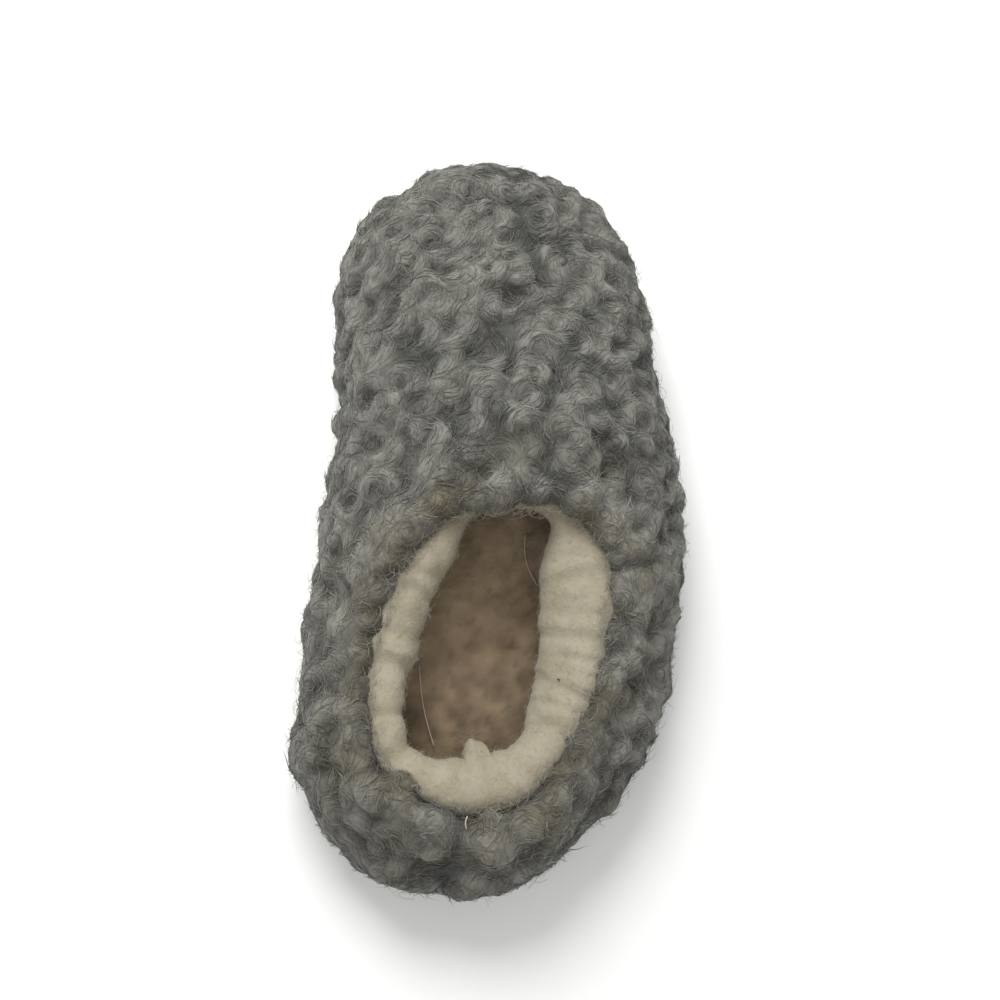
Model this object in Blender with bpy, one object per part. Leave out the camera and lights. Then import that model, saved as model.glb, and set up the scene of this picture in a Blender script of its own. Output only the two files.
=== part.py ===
"""House slipper for the right foot, of curly wool fleece with a rolled cream collar.

The toe points to +Y, the outer side of the foot to +X, and the floor is at Z = 0.
Sections, outline and collar are worked out in millimetres with the back of the heel at y = 0.
The finished pieces hang on an empty that brings the middle of their footprint to the origin.
"""

import math
from typing import NamedTuple

import bmesh
import bpy
import numpy as np
from mathutils import Vector, noise

# One millimetre in scene units
MM = 0.001

# Gap that neighbouring pieces keep
GAP = 0.3

# Points around the upper, around the collar roll and around the flat pads
AROUND_UPPER = 112
AROUND_ROLL = 72
AROUND_PAD = 60

# Overall length, and the radius and roundness of the outline's two ends
LENGTH = 262.0
HEEL_RADIUS = 58.0
HEEL_POWER = 2.2
TOE_RADIUS = 74.0
TOE_POWER = 2.25


class Section(NamedTuple):
    """One section across the last: station from the heel, middle, half width and ridge height."""

    station: float
    axis: float
    half_width: float
    ridge: float


SECTIONS = (
    Section(station=0.0, axis=-1.7, half_width=49.0, ridge=50.0),
    Section(station=30.0, axis=-0.5, half_width=55.0, ridge=53.0),
    Section(station=75.0, axis=6.3, half_width=61.0, ridge=58.5),
    Section(station=114.0, axis=7.9, half_width=62.0, ridge=67.0),
    Section(station=140.0, axis=7.8, half_width=60.5, ridge=68.0),
    Section(station=175.0, axis=2.5, half_width=58.0, ridge=63.0),
    Section(station=215.0, axis=-3.2, half_width=58.0, ridge=56.0),
    Section(station=LENGTH, axis=-3.0, half_width=60.0, ridge=50.0),
)

# Each section is a superellipse above the widest line, and the ridge drops at heel and toe
SECTION_SIDE_POWER = 2.4
SECTION_TOP_POWER = 1.9
RIDGE_HEEL_RADIUS = 36.0
RIDGE_TOE_RADIUS = 62.0
RIDGE_POWER = 2.1
WIDEST_HEIGHT = 22.0

# Toe spring, from its station forwards
TOE_SPRING = 5.0
SPRING_STATION = 195.0

# Outsole: thickness, how far its edge lies inside the widest line, and its rounded lower edge
SOLE_THICKNESS = 4.0
SOLE_INSET = 8.5
SOLE_EDGE_RADIUS = 1.5

# Upper: wall with its pile, and how far the lower wall tucks in towards the sole
WALL = 8.5
LIP_RADIUS = WALL / 2
TUCK = 7.0
UPPER_FLOOR = SOLE_THICKNESS + GAP

# Rows of the upper from sole to widest line, from there to the collar, over the lip and inside
TUCK_ROWS = 3
CROWN_ROWS = 24
LIP_ROWS = 4
INNER_CROWN_ROWS = 6
INNER_TUCK_ROWS = 4
ROW_EASE = 0.25

# The lines up the wall leave the outline square to it, over this share of their length
SQUARE_START = 0.45

# Curled locks: spacing, height, reach in spacings, the share of their height that sinks into the wall,
# and how far they fade out at the wall's two edges
LOCK_SPACING = 13.0
LOCK_HEIGHT = 4.0
LOCK_REACH = 0.75
LOCK_SINK = 0.5
LOCK_FADE = 0.12

# Seam that closes the back of the heel
SEAM_DEPTH = 2.4
SEAM_HALF_WIDTH = 4.0

# Collar edge in plan: its distances from a middle, at even turns from the heel by the outer side,
# a row each for the outer heel, the outer side to the throat, the inner side and the inner heel
COLLAR_MIDDLE = np.array([4.2, 70.5])
COLLAR_REACHES = (
    (53.0, 50.3, 42.6, 38.8),
    (39.4, 44.2, 54.6, 55.4),
    (48.8, 48.8, 44.8, 40.8),
    (40.6, 44.8, 51.2, 52.2),
)

# Rolled lining: radius at heel and throat, how far under the lip it lies, the throat's place and share
# of the way round, the stretch over which the roll thins, and its soft pinches
ROLL_RADIUS = 7.0
ROLL_THROAT_RADIUS = 3.4
ROLL_SIDES = 8
ROLL_LEAN = math.radians(58.0)
ROLL_THROAT_LEAN = math.radians(76.0)
THROAT_PLACE = 0.5
THROAT_SHARE = 0.23
THROAT_FADE = 0.06
ROLL_PINCHES = 11
ROLL_PINCH_DEPTH = 0.5

# Insole: thickness, and the hollow that it takes under the foot
INSOLE_THICKNESS = 6.0
INSOLE_HOLLOW = 1.2

# Middle of the pads, and the shares of their outline at which rings of points lie
PAD_MIDDLE_Y = LENGTH * 0.48
PAD_RINGS = (0.36, 0.7)

# Points on a finely drawn line, and a small step for slopes
DENSE_POINTS = 1200
STEP = 1e-3


class Finish(NamedTuple):
    """Colour of a piece, linear, with its roughness and metallic value."""

    colour: tuple
    roughness: float
    metallic: float


GREY_FLEECE = Finish(colour=(0.185, 0.185, 0.168), roughness=0.95, metallic=0.0)
CREAM_FLEECE = Finish(colour=(0.60, 0.55, 0.43), roughness=0.95, metallic=0.0)
INSOLE_FLEECE = Finish(colour=(0.46, 0.40, 0.30), roughness=0.97, metallic=0.0)
SOLE_FELT = Finish(colour=(0.11, 0.11, 0.105), roughness=0.95, metallic=0.0)


def section_value(y, column):
    """One column of SECTIONS at the stations y, on a smooth curve through the rows."""
    stations = np.array([row.station for row in SECTIONS])
    values = np.array([getattr(row, column) for row in SECTIONS])
    slopes = np.gradient(values, stations)
    y = np.clip(y, 0.0, LENGTH)
    row = np.clip(np.searchsorted(stations, y) - 1, 0, len(stations) - 2)
    span = stations[row + 1] - stations[row]
    t = (y - stations[row]) / span
    start = values[row] * (2 * t**3 - 3 * t**2 + 1) + slopes[row] * span * (t**3 - 2 * t**2 + t)
    end = values[row + 1] * (3 * t**2 - 2 * t**3) + slopes[row + 1] * span * (t**3 - t**2)
    return start + end


def rounded_end(distance, radius, power):
    """Share of full width or height at a distance from a rounded end."""
    t = np.clip(distance / radius, 0.0, 1.0)
    return (1 - (1 - t) ** power) ** (1 / power)


def axis(y):
    return section_value(y, "axis")


def half_width(y):
    heel = rounded_end(y, HEEL_RADIUS, HEEL_POWER)
    toe = rounded_end(LENGTH - y, TOE_RADIUS, TOE_POWER)
    return section_value(y, "half_width") * heel * toe


def ridge(y):
    heel = rounded_end(y, RIDGE_HEEL_RADIUS, RIDGE_POWER)
    toe = rounded_end(LENGTH - y, RIDGE_TOE_RADIUS, RIDGE_POWER)
    return WIDEST_HEIGHT + (section_value(y, "ridge") - WIDEST_HEIGHT) * heel * toe


def toe_lift(y):
    t = np.clip((y - SPRING_STATION) / (LENGTH - SPRING_STATION), 0.0, 1.0)
    return TOE_SPRING * t**2


def crown_height(x, y):
    """Height of the upper's outer face over a point of the plan, without the toe spring."""
    side = np.clip(np.abs(x - axis(y)) / np.maximum(half_width(y), STEP), 0.0, 1.0)
    share = (1 - side**SECTION_SIDE_POWER) ** (1 / SECTION_TOP_POWER)
    return WIDEST_HEIGHT + (ridge(y) - WIDEST_HEIGHT) * share


def evenly_spaced(points, count):
    """The same closed curve with count points at equal distances along it."""
    lengths = np.linalg.norm(np.diff(points, axis=0), axis=1)
    along = np.concatenate([[0.0], np.cumsum(lengths)])
    targets = np.linspace(0.0, along[-1], count, endpoint=False)
    return np.column_stack([np.interp(targets, along, points[:, k]) for k in (0, 1)])


def outline(count):
    """The last's widest line in plan, from the back of the heel by way of the outer side."""
    turn = np.linspace(0.0, math.pi, DENSE_POINTS)
    y = LENGTH * (1 - np.cos(turn)) / 2
    outer = np.column_stack([axis(y) + half_width(y), y])
    inner = np.column_stack([axis(y) - half_width(y), y])[::-1]
    return evenly_spaced(np.concatenate([outer, inner[1:]]), count)


def collar_reach(around):
    """Distance of the collar's edge from its middle at shares of a turn, on a smooth closed curve."""
    reaches = np.ravel(COLLAR_REACHES)
    place = around % 1.0 * len(reaches)
    row = np.floor(place).astype(int)
    t = place - row
    before, start, end, after = (np.take(reaches, row + k, mode="wrap") for k in (-1, 0, 1, 2))
    slope = (end - before) / 2
    bend = before - 2.5 * start + 2 * end - after / 2
    twist = 1.5 * (start - end) + (after - before) / 2
    return start + slope * t + bend * t**2 + twist * t**3


def collar_below(edge):
    """Points of the collar's edge in plan, on the lines from points of the outline to its middle."""
    from_middle = edge - COLLAR_MIDDLE
    around = np.arctan2(from_middle[:, 0], -from_middle[:, 1]) / (2 * math.pi)
    share = collar_reach(around) / np.linalg.norm(from_middle, axis=1)
    return COLLAR_MIDDLE + from_middle * share[:, None]


def outline_over_collar(count):
    """Points of the outline whose places on the collar's edge lie at equal distances."""
    edge = outline(DENSE_POINTS)
    edge = np.concatenate([edge, edge[:1]])
    steps = np.linalg.norm(np.diff(collar_below(edge), axis=0), axis=1)
    along = np.concatenate([[0.0], np.cumsum(steps)])
    targets = np.linspace(0.0, along[-1], count, endpoint=False)
    return np.column_stack([np.interp(targets, along, edge[:, k]) for k in (0, 1)])


def inward(points):
    """Unit vectors in plan that point from a closed line to its inside."""
    along = np.roll(points, -1, axis=0) - np.roll(points, 1, axis=0)
    along /= np.linalg.norm(along, axis=1)[:, None]
    return np.column_stack([-along[:, 1], along[:, 0]])


def tuck_inset(height):
    """How far the lower wall lies inside the widest line at a height above the floor."""
    share = (height - UPPER_FLOOR) / (WIDEST_HEIGHT - UPPER_FLOOR)
    return TUCK * (1 - np.clip(share, 0.0, 1.0)) ** 2


def raised(plan, height):
    """Points in space over a plan, at a height that follows the toe spring."""
    return np.column_stack([plan, height + toe_lift(plan[:, 1])])


def wall_row(level, edge):
    """One row of the upper's outer face, over or under the outline points of edge.

    Level -1 is the edge on the sole, 0 the widest line and 1 the collar.
    """
    if level < 0:
        height = WIDEST_HEIGHT + level * (WIDEST_HEIGHT - UPPER_FLOOR)
        return raised(edge + inward(edge) * tuck_inset(height), np.full(len(edge), height))
    share = (math.hypot(level, ROW_EASE) - ROW_EASE) / (math.hypot(1.0, ROW_EASE) - ROW_EASE)
    collar = collar_below(edge)
    square_reach = SQUARE_START * np.linalg.norm(collar - edge, axis=1)
    square = edge + inward(edge) * square_reach[:, None]
    plan = edge * (1 - share) ** 2 + square * 2 * share * (1 - share) + collar * share**2
    return raised(plan, crown_height(plan[:, 0], plan[:, 1]))


def unit(vectors):
    return vectors / np.linalg.norm(vectors, axis=1)[:, None]


def wall_directions(level, edge):
    """Outward normals of the outer face at a level, and directions square to the row, to the collar."""
    row = wall_row(level, edge)
    around = unit(np.roll(row, -1, axis=0) - np.roll(row, 1, axis=0))
    upward = wall_row(level + STEP, edge) - wall_row(level - STEP, edge)
    normal = unit(np.cross(around, upward))
    return normal, np.cross(normal, around)


def lock_relief(row, level):
    """Rise of the curled locks over one row of the outer face, with the groove of the heel seam."""
    heights = []
    for point in row:
        distances, _ = noise.voronoi(Vector(point / LOCK_SPACING))
        heights.append(max(0.0, 1 - (distances[0] / LOCK_REACH) ** 2) - LOCK_SINK)
    fade = np.clip(min(1 - level, 1 + level) / LOCK_FADE, 0.0, 1.0)
    from_seam = np.linalg.norm(row - row[0], axis=1)
    seam = SEAM_DEPTH * np.exp(-((from_seam / SEAM_HALF_WIDTH) ** 2))
    return fade * (LOCK_HEIGHT * np.array(heights) - seam)


def upper_rows():
    """Closed sequence of rows: up the outer face, over the lip, down the inner face."""
    edge = outline(AROUND_UPPER)
    outer_levels = [k / TUCK_ROWS - 1 for k in range(TUCK_ROWS)]
    outer_levels += [k / CROWN_ROWS for k in range(CROWN_ROWS + 1)]
    rows = []
    for level in outer_levels:
        row = wall_row(level, edge)
        normal, _ = wall_directions(level, edge)
        rows.append(row + normal * lock_relief(row, level)[:, None])
    normal, towards = wall_directions(1.0, edge)
    lip = wall_row(1.0, edge) - normal * LIP_RADIUS
    for k in range(1, LIP_ROWS):
        turn = math.pi * k / LIP_ROWS
        rows.append(lip + LIP_RADIUS * (normal * math.cos(turn) + towards * math.sin(turn)))
    for k in range(INNER_CROWN_ROWS + 1):
        level = 1 - k / INNER_CROWN_ROWS
        normal, _ = wall_directions(level, edge)
        rows.append(wall_row(level, edge) - normal * WALL)
    for k in range(1, INNER_TUCK_ROWS + 1):
        height = WIDEST_HEIGHT + (UPPER_FLOOR - WIDEST_HEIGHT) * k / INNER_TUCK_ROWS
        plan = edge + inward(edge) * (tuck_inset(height) + WALL)
        rows.append(raised(plan, np.full(len(edge), height)))
    return rows


def roll_rows():
    """Rings around the tube of the rolled lining, which lies against the lip and under it."""
    edge = outline_over_collar(AROUND_ROLL)
    normal, towards = wall_directions(1.0, edge)
    lip = wall_row(1.0, edge) - normal * LIP_RADIUS
    around = np.arange(AROUND_ROLL) / AROUND_ROLL
    near_throat = np.clip((THROAT_SHARE / 2 - np.abs(around - THROAT_PLACE)) / THROAT_FADE, 0.0, 1.0)
    near_throat = near_throat**2 * (3 - 2 * near_throat)
    radius = ROLL_RADIUS + (ROLL_THROAT_RADIUS - ROLL_RADIUS) * near_throat
    lean = ROLL_LEAN + (ROLL_THROAT_LEAN - ROLL_LEAN) * near_throat
    beside = towards * np.cos(lean)[:, None] - normal * np.sin(lean)[:, None]
    middle = lip + beside * (LIP_RADIUS + GAP + radius)[:, None]
    pinch = ROLL_PINCH_DEPTH * (1 - near_throat) * np.cos(2 * math.pi * ROLL_PINCHES * around) ** 2
    along = unit(np.roll(middle, -1, axis=0) - np.roll(middle, 1, axis=0))
    across = unit(beside - along * np.sum(beside * along, axis=1)[:, None])
    rise = np.cross(along, across)
    rows = []
    for k in range(ROLL_SIDES):
        turn = 2 * math.pi * k / ROLL_SIDES
        ring = across * math.cos(turn) + rise * math.sin(turn)
        rows.append(middle + ring * (radius - pinch)[:, None])
    return rows


def shrunk(plan, share):
    """A plan outline drawn in towards the middle of the pad, along the last's own axis."""
    y = PAD_MIDDLE_Y + (plan[:, 1] - PAD_MIDDLE_Y) * share
    x = axis(y) + (plan[:, 0] - axis(plan[:, 1])) * share
    return np.column_stack([x, y])


def pad_rows(profile, hollow=0.0):
    """Rows of a flat pad from the middle of its underside, over its edge, to the middle of its top.

    The profile lists (inset, height) pairs up the edge. The hollow lowers the middle of the top.
    """
    edge = outline(AROUND_PAD)
    into = inward(edge)
    rings = [(edge + into * inset, height) for inset, height in profile]
    underside, top = rings[0], rings[-1]
    rows = []
    for share in PAD_RINGS:
        rows.append(raised(shrunk(underside[0], share), underside[1]))
    rows += [raised(plan, height) for plan, height in rings]
    for share in reversed(PAD_RINGS):
        rows.append(raised(shrunk(top[0], share), top[1] - hollow * (1 - share)))
    return rows


def outsole_rows():
    edge = SOLE_EDGE_RADIUS
    slope = edge * (1 - math.cos(math.pi / 4))
    profile = (
        (SOLE_INSET + edge, 0.0),
        (SOLE_INSET + slope, slope),
        (SOLE_INSET, edge),
        (SOLE_INSET, SOLE_THICKNESS),
    )
    return pad_rows(profile)


def insole_rows():
    low = UPPER_FLOOR + GAP
    high = low + INSOLE_THICKNESS
    middle = (low + high) / 2
    inside = WALL + GAP
    profile = [(tuck_inset(height) + inside, height) for height in (low, middle, high)]
    return pad_rows(profile, hollow=INSOLE_HOLLOW)


def add_row(mesh, row):
    return [mesh.verts.new(point * MM) for point in row]


def bridge(mesh, lower, upper):
    """Faces between two rows of points that run the same way round."""
    for k in range(len(lower)):
        after = (k + 1) % len(lower)
        mesh.faces.new((lower[k], lower[after], upper[after], upper[k]))


def loft(name, rows, closed, finish, collection):
    """A solid through rows of points, closed on itself or with a fan at each end."""
    mesh = bmesh.new()
    rings = [add_row(mesh, row) for row in rows]
    for lower, upper in zip(rings, rings[1:]):
        bridge(mesh, lower, upper)
    if closed:
        bridge(mesh, rings[-1], rings[0])
    else:
        for ring in (rings[0], rings[-1]):
            bmesh.ops.contextual_create(mesh, geom=edges_of(ring))
        ends = [face for face in mesh.faces if len(face.verts) > 4]
        bmesh.ops.poke(mesh, faces=ends)
    bmesh.ops.recalc_face_normals(mesh, faces=mesh.faces)
    data = bpy.data.meshes.new(name)
    mesh.to_mesh(data)
    mesh.free()
    data.shade_smooth()
    data.materials.append(material(name, finish))
    piece = bpy.data.objects.new(name, data)
    collection.objects.link(piece)
    return piece


def edges_of(ring):
    """The edges between the neighbouring points of a closed ring."""
    members = set(ring)
    found = []
    for vert in ring:
        for edge in vert.link_edges:
            if edge.other_vert(vert) in members and edge not in found:
                found.append(edge)
    return found


def material(name, finish):
    made = bpy.data.materials.new(name)
    made.use_nodes = True
    shader = made.node_tree.nodes["Principled BSDF"]
    shader.inputs["Base Color"].default_value = (*finish.colour, 1.0)
    shader.inputs["Roughness"].default_value = finish.roughness
    shader.inputs["Metallic"].default_value = finish.metallic
    return made


def centre_footprint(pieces, collection):
    """Hang the pieces on an empty that puts the middle of their footprint at the origin."""
    corners = np.array([corner for piece in pieces for corner in piece.bound_box])
    middle = (corners.min(axis=0) + corners.max(axis=0)) / 2
    frame = bpy.data.objects.new("slipper_frame", None)
    frame.location = (-middle[0], -middle[1], 0.0)
    collection.objects.link(frame)
    for piece in pieces:
        piece.parent = frame


def main():
    for old in list(bpy.data.objects):
        bpy.data.objects.remove(old)
    collection = bpy.data.collections.new("wool_slipper")
    bpy.context.scene.collection.children.link(collection)
    pieces = [
        loft("outsole", outsole_rows(), False, SOLE_FELT, collection),
        loft("insole", insole_rows(), False, INSOLE_FLEECE, collection),
        loft("upper", upper_rows(), True, GREY_FLEECE, collection),
        loft("collar_roll", roll_rows(), True, CREAM_FLEECE, collection),
    ]
    centre_footprint(pieces, collection)


main()
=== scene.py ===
"""Curly wool slipper for the right foot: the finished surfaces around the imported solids.

Each operator makes one piece, or one group of like pieces, from the solids of the frame.
The last operator sets the floor, the light and the camera.
"""

import itertools
import math

import bmesh
import bpy
import numpy as np
from bpy.props import FloatProperty, FloatVectorProperty, IntProperty, PointerProperty
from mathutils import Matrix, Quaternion, Vector, noise
from mathutils.bvhtree import BVHTree
from mathutils.kdtree import KDTree


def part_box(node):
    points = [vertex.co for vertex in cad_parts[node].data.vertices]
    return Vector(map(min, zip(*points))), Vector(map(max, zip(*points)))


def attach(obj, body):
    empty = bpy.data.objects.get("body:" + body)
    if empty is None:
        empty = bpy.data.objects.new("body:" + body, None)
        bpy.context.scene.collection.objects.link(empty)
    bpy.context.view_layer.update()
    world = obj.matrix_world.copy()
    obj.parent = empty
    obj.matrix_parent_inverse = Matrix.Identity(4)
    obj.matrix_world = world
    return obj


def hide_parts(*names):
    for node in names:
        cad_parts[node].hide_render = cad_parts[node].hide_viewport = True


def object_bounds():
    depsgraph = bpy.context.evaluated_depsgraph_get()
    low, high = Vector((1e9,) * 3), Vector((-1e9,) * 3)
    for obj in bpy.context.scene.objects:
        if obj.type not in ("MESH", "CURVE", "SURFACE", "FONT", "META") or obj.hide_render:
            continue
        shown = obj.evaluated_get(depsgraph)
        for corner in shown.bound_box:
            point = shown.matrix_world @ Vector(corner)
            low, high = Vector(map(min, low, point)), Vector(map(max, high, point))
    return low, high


bl_info = {
    "name": "Curly wool slipper",
    "version": (1, 0, 0),
    "blender": (4, 5, 0),
    "location": "View3D > Sidebar > Slipper",
    "description": "Dresses the slipper's solids in curly fleece, felted wool and felt",
    "category": "Object",
}

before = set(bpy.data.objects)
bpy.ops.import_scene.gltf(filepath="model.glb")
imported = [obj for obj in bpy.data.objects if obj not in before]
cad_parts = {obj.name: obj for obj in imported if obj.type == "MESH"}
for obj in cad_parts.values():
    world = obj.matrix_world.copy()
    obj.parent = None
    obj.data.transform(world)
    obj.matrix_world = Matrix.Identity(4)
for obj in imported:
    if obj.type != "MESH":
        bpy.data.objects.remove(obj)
CAD_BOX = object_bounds()
BODY = "root"

MM = 0.001
CLEAR_OF_FLOOR = 0.2 * MM
SAME_POINT = 0.01 * MM
TINY = 1e-12

# Below, a ramp is given as strength, start and reach, a noise as strength, size and shift, and a random size
# as middle, spread, least and most

# Middle of the collar and back of the heel, read from the solids
ROLL_LOW, ROLL_HIGH = (np.array(corner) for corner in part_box("collar_roll"))
COLLAR_MIDDLE = (ROLL_LOW + ROLL_HIGH) / 2
HEEL_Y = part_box("upper")[0][1]

# Stretches of the collar, as shares of the way round it from the heel by the outer side: middle, half width
OUTER_SIDE = (0.28, 0.16)
INNER_SIDE = (0.70, 0.12)
THROAT = (0.5, 0.072)

# Width of the collar's edge that carries no curls, in millimetres: everywhere, and more along each stretch
BARE_EDGE = 1.2
BARE_STRETCHES = ((OUTER_SIDE, 3.4), (INNER_SIDE, 3.0), (THROAT, 2.4))


# Settings


def linear(hex_colour):
    """An sRGB hex colour as linear red, green and blue."""
    channels = [int(hex_colour[k : k + 2], 16) / 255 for k in (1, 3, 5)]
    return tuple(c / 12.92 if c <= 0.04045 else ((c + 0.055) / 1.055) ** 2.4 for c in channels)


def length_setting(name, description, size):
    """A length in millimetres that a user can change."""
    return FloatProperty(name=name, description=description, default=size * MM, unit="LENGTH")


def angle_setting(name, description, degrees):
    """An angle in degrees that a user can change."""
    return FloatProperty(name=name, description=description, default=math.radians(degrees), subtype="ANGLE")


def count_setting(name, description, count):
    """A number of fibres that a user can change."""
    return IntProperty(name=name, description=description, default=count, min=0)


def colour_setting(name, description, hex_colour):
    """A colour that a user can change."""
    colour = linear(hex_colour)
    return FloatVectorProperty(name=name, description=description, default=colour, subtype="COLOR")


class FleeceSettings(bpy.types.PropertyGroup):
    """Sizes and colours of the grey curly fleece."""

    curl_spacing: length_setting("Curl spacing", "Distance between neighbouring curls", 7.0)
    curl_length: length_setting("Curl length", "Length of one curl along its fibres", 15.5)
    curl_width: length_setting("Curl width", "Width of one curl across its fibres", 7.2)
    curl_height: length_setting("Curl height", "Rise of one curl above the backing", 6.0)
    backing_depth: length_setting("Backing depth", "Depth of the backing under the upper's outer face", 3.2)
    skin_grain: length_setting("Skin grain", "Finest form kept where curls grow together", 1.3)
    fibres: count_setting("Fibres", "Fine fibres combed over the curls", 31500)
    fibre_length: length_setting("Fibre length", "Length of one fibre on the curls", 7.0)
    fibre_thickness: length_setting("Fibre thickness", "Thickness of one wisp of fibres", 0.22)
    felted_reach: length_setting("Felted edge", "Width of the worn, felted band along the collar", 24.0)
    strays: count_setting("Stray fibres", "Loose single fibres on the fleece", 3600)
    fringe: count_setting("Fringe", "Fibres that lie over the collar's edge", 2400)
    grey: colour_setting("Wool grey", "Colour of the fleece", "#7d7c75")
    worn: colour_setting("Worn tint", "Brownish tint of the worn pile at the collar", "#6a6452")


class CollarSettings(bpy.types.PropertyGroup):
    """Sizes and colours of the rolled collar."""

    fullness: FloatProperty(name="Fullness", description="Thickness against the solid roll's", default=1.06)
    fibres: count_setting("Fibres", "Short fibres that lie on the roll", 5200)
    cream: colour_setting("Cream", "Colour of the felted lining wool", "#a49c89")
    # Darker cream: soiled colour in clouds, at the throat and on loose fibres, and painted shade in the
    # creases
    soiled_and_shaded: colour_setting("Soiled and shaded cream", "Colour in the creases of the roll", "#85785f")


class InsideSettings(bpy.types.PropertyGroup):
    """Sizes and colours of lining, insole and outsole."""

    tuft: length_setting("Tuft size", "Width of the matted tufts inside", 8.0)
    # Wool's own colour inside; the lining's painted shade, and lit and shaded copies on the insole
    tan: colour_setting("Inside tan", "Colour of the trodden wool inside", "#96836b")
    felt: colour_setting("Sole felt", "Colour of the pressed felt sole", "#5d5c58")


class StageSettings(bpy.types.PropertyGroup):
    """Camera and floor."""

    distance: length_setting("Distance", "From camera to slipper", 483.0)
    elevation: angle_setting("Elevation", "Camera height above the horizon", 69.1)
    azimuth: angle_setting("Azimuth", "Camera's turn from straight behind the heel", -12.9)
    roll: angle_setting("Roll", "Turn of the camera about its view", 18.8)
    lens: FloatProperty(name="Lens", description="Focal length in millimetres", default=51.0)
    floor: colour_setting("Floor", "Colour of the floor", "#f4f4f2")


# Geometry shared by the pieces


def unit(vectors):
    """Vectors brought to a length of one."""
    return vectors / np.maximum(np.linalg.norm(vectors, axis=-1, keepdims=True), TINY)


def smooth_step(value):
    """A soft rise from 0 to 1 while a value goes from 0 to 1."""
    t = np.clip(value, 0.0, 1.0)
    return t * t * (3 - 2 * t)


def bell(offset, half_width, power=2):
    """One at no offset, falling off softly past a half width to each side."""
    return np.exp(-((offset / half_width) ** power))


def wrapped(offset, whole):
    """An offset on a closed round, brought to within half of the whole."""
    return (offset + whole / 2) % whole - whole / 2


def varied(rng, count, middle, spread, least, most):
    """Random numbers about a middle, kept between a least and a most."""
    return np.clip(rng.normal(middle, spread, count), least, most)


def above(value, strength, start, reach):
    """A strength that comes in softly while a value rises from a start over a reach."""
    return strength * smooth_step((value - start) / reach)


def below(value, strength, start, reach):
    """A strength that comes in softly while a value falls from a start over a reach."""
    return strength * smooth_step((start - value) / reach)


def noise_at(points, strength, size, shift=0.0):
    """Smooth noise of a strength to both sides of zero; the shift sets noises of like sizes apart."""
    moved = Vector((shift, shift, shift))
    return strength * np.array([noise.noise(Vector(point / size) + moved) for point in points])


def points_of(mesh):
    """Points of a mesh."""
    points = np.empty(len(mesh.vertices) * 3)
    mesh.vertices.foreach_get("co", points)
    return points.reshape(-1, 3)


def directions_of(mesh):
    """Outward directions at the points of a mesh."""
    normals = np.empty(len(mesh.vertices) * 3)
    mesh.vertex_normals.foreach_get("vector", normals)
    return normals.reshape(-1, 3)


def move_points(mesh, points):
    mesh.vertices.foreach_set("co", points.astype(np.float32).ravel())
    mesh.update()


def triangles_of(mesh):
    """Points of a mesh, and the three corners of each of its triangles."""
    mesh.calc_loop_triangles()
    corners = np.empty(len(mesh.loop_triangles) * 3, dtype=np.int32)
    mesh.loop_triangles.foreach_get("vertices", corners)
    return points_of(mesh), corners.reshape(-1, 3)


def crosses_of(triangles):
    """Outward directions of triangles, each as long as twice the triangle's area."""
    return np.cross(triangles[:, 1] - triangles[:, 0], triangles[:, 2] - triangles[:, 0])


def node_triangles(name):
    """Corners of a solid's triangles, one row of three points a triangle."""
    points, corners = triangles_of(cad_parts[name].data)
    return points[corners]


def search_tree(*names):
    """A search tree over the triangles of some solids."""
    triangles = np.concatenate([node_triangles(name) for name in names])
    corners = np.arange(len(triangles) * 3).reshape(-1, 3)
    return BVHTree.FromPolygons(triangles.reshape(-1, 3).tolist(), corners.tolist())


def round_collar(points):
    """Place round the collar: 0 at the heel, a quarter on the outer side, half at the throat."""
    off = points - COLLAR_MIDDLE
    return (np.arctan2(off[..., 0], -off[..., 1]) / (2 * math.pi)) % 1.0


def plateau(place, middle, half_width):
    """One along a stretch of the collar, with a level middle and soft ends."""
    return bell(wrapped(place - middle, 1.0), half_width, 4)


def bare_edge(place):
    """Width of the collar's edge that carries no curls: wider where the roll or the throat covers it."""
    return (BARE_EDGE + sum(more * plateau(place, *stretch) for stretch, more in BARE_STRETCHES)) * MM


# Telling the upper's faces apart: start of a feeler off a face, least room before an inner face, height of
# the sole's edge, tilt of the underside, and how near the roll and how far under it a face is behind it
FEELER_START = 0.5 * MM
INSIDE_ROOM = 12.0 * MM
SOLE_EDGE = 11.0 * MM
UNDERSIDE_TILT = -0.9
BESIDE_ROLL = 9.0 * MM
UNDER_ROLL = 0.5 * MM


def upper_sides():
    """The upper's triangles, and which of them are its curled face, its whole pelt and its inner face."""
    triangles = node_triangles("upper")
    middles = triangles.mean(axis=1)
    normals = unit(crosses_of(triangles))
    edge = bare_edge(round_collar(middles))
    solids = search_tree("upper", "collar_roll", "insole", "outsole")
    roll = search_tree("collar_roll")
    curled, pelt, inner = (np.zeros(len(triangles), dtype=bool) for _ in range(3))
    for k, (middle, normal) in enumerate(zip(middles, normals)):
        hit = solids.ray_cast(Vector(middle + normal * FEELER_START), Vector(normal))
        faces_inside = hit[0] is not None and hit[3] > INSIDE_ROOM
        under = normal[2] < UNDERSIDE_TILT and middle[2] < SOLE_EDGE
        near, _, _, distance = roll.find_nearest(Vector(middle))
        behind_roll = distance < BESIDE_ROLL and middle[2] > near.z - UNDER_ROLL
        pelt[k] = not under and (behind_roll or not faces_inside)
        curled[k] = pelt[k] and distance > edge[k]
        inner[k] = faces_inside and not under and not behind_roll
    return triangles, curled, pelt, inner


# Cells round a cell, and points tried for each curl that finds room
NEIGHBOURS = tuple(itertools.product((-1, 0, 1), repeat=3))
TRIES = 9

# Rounds of evening the outward directions
EVENING_ROUNDS = 4
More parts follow.
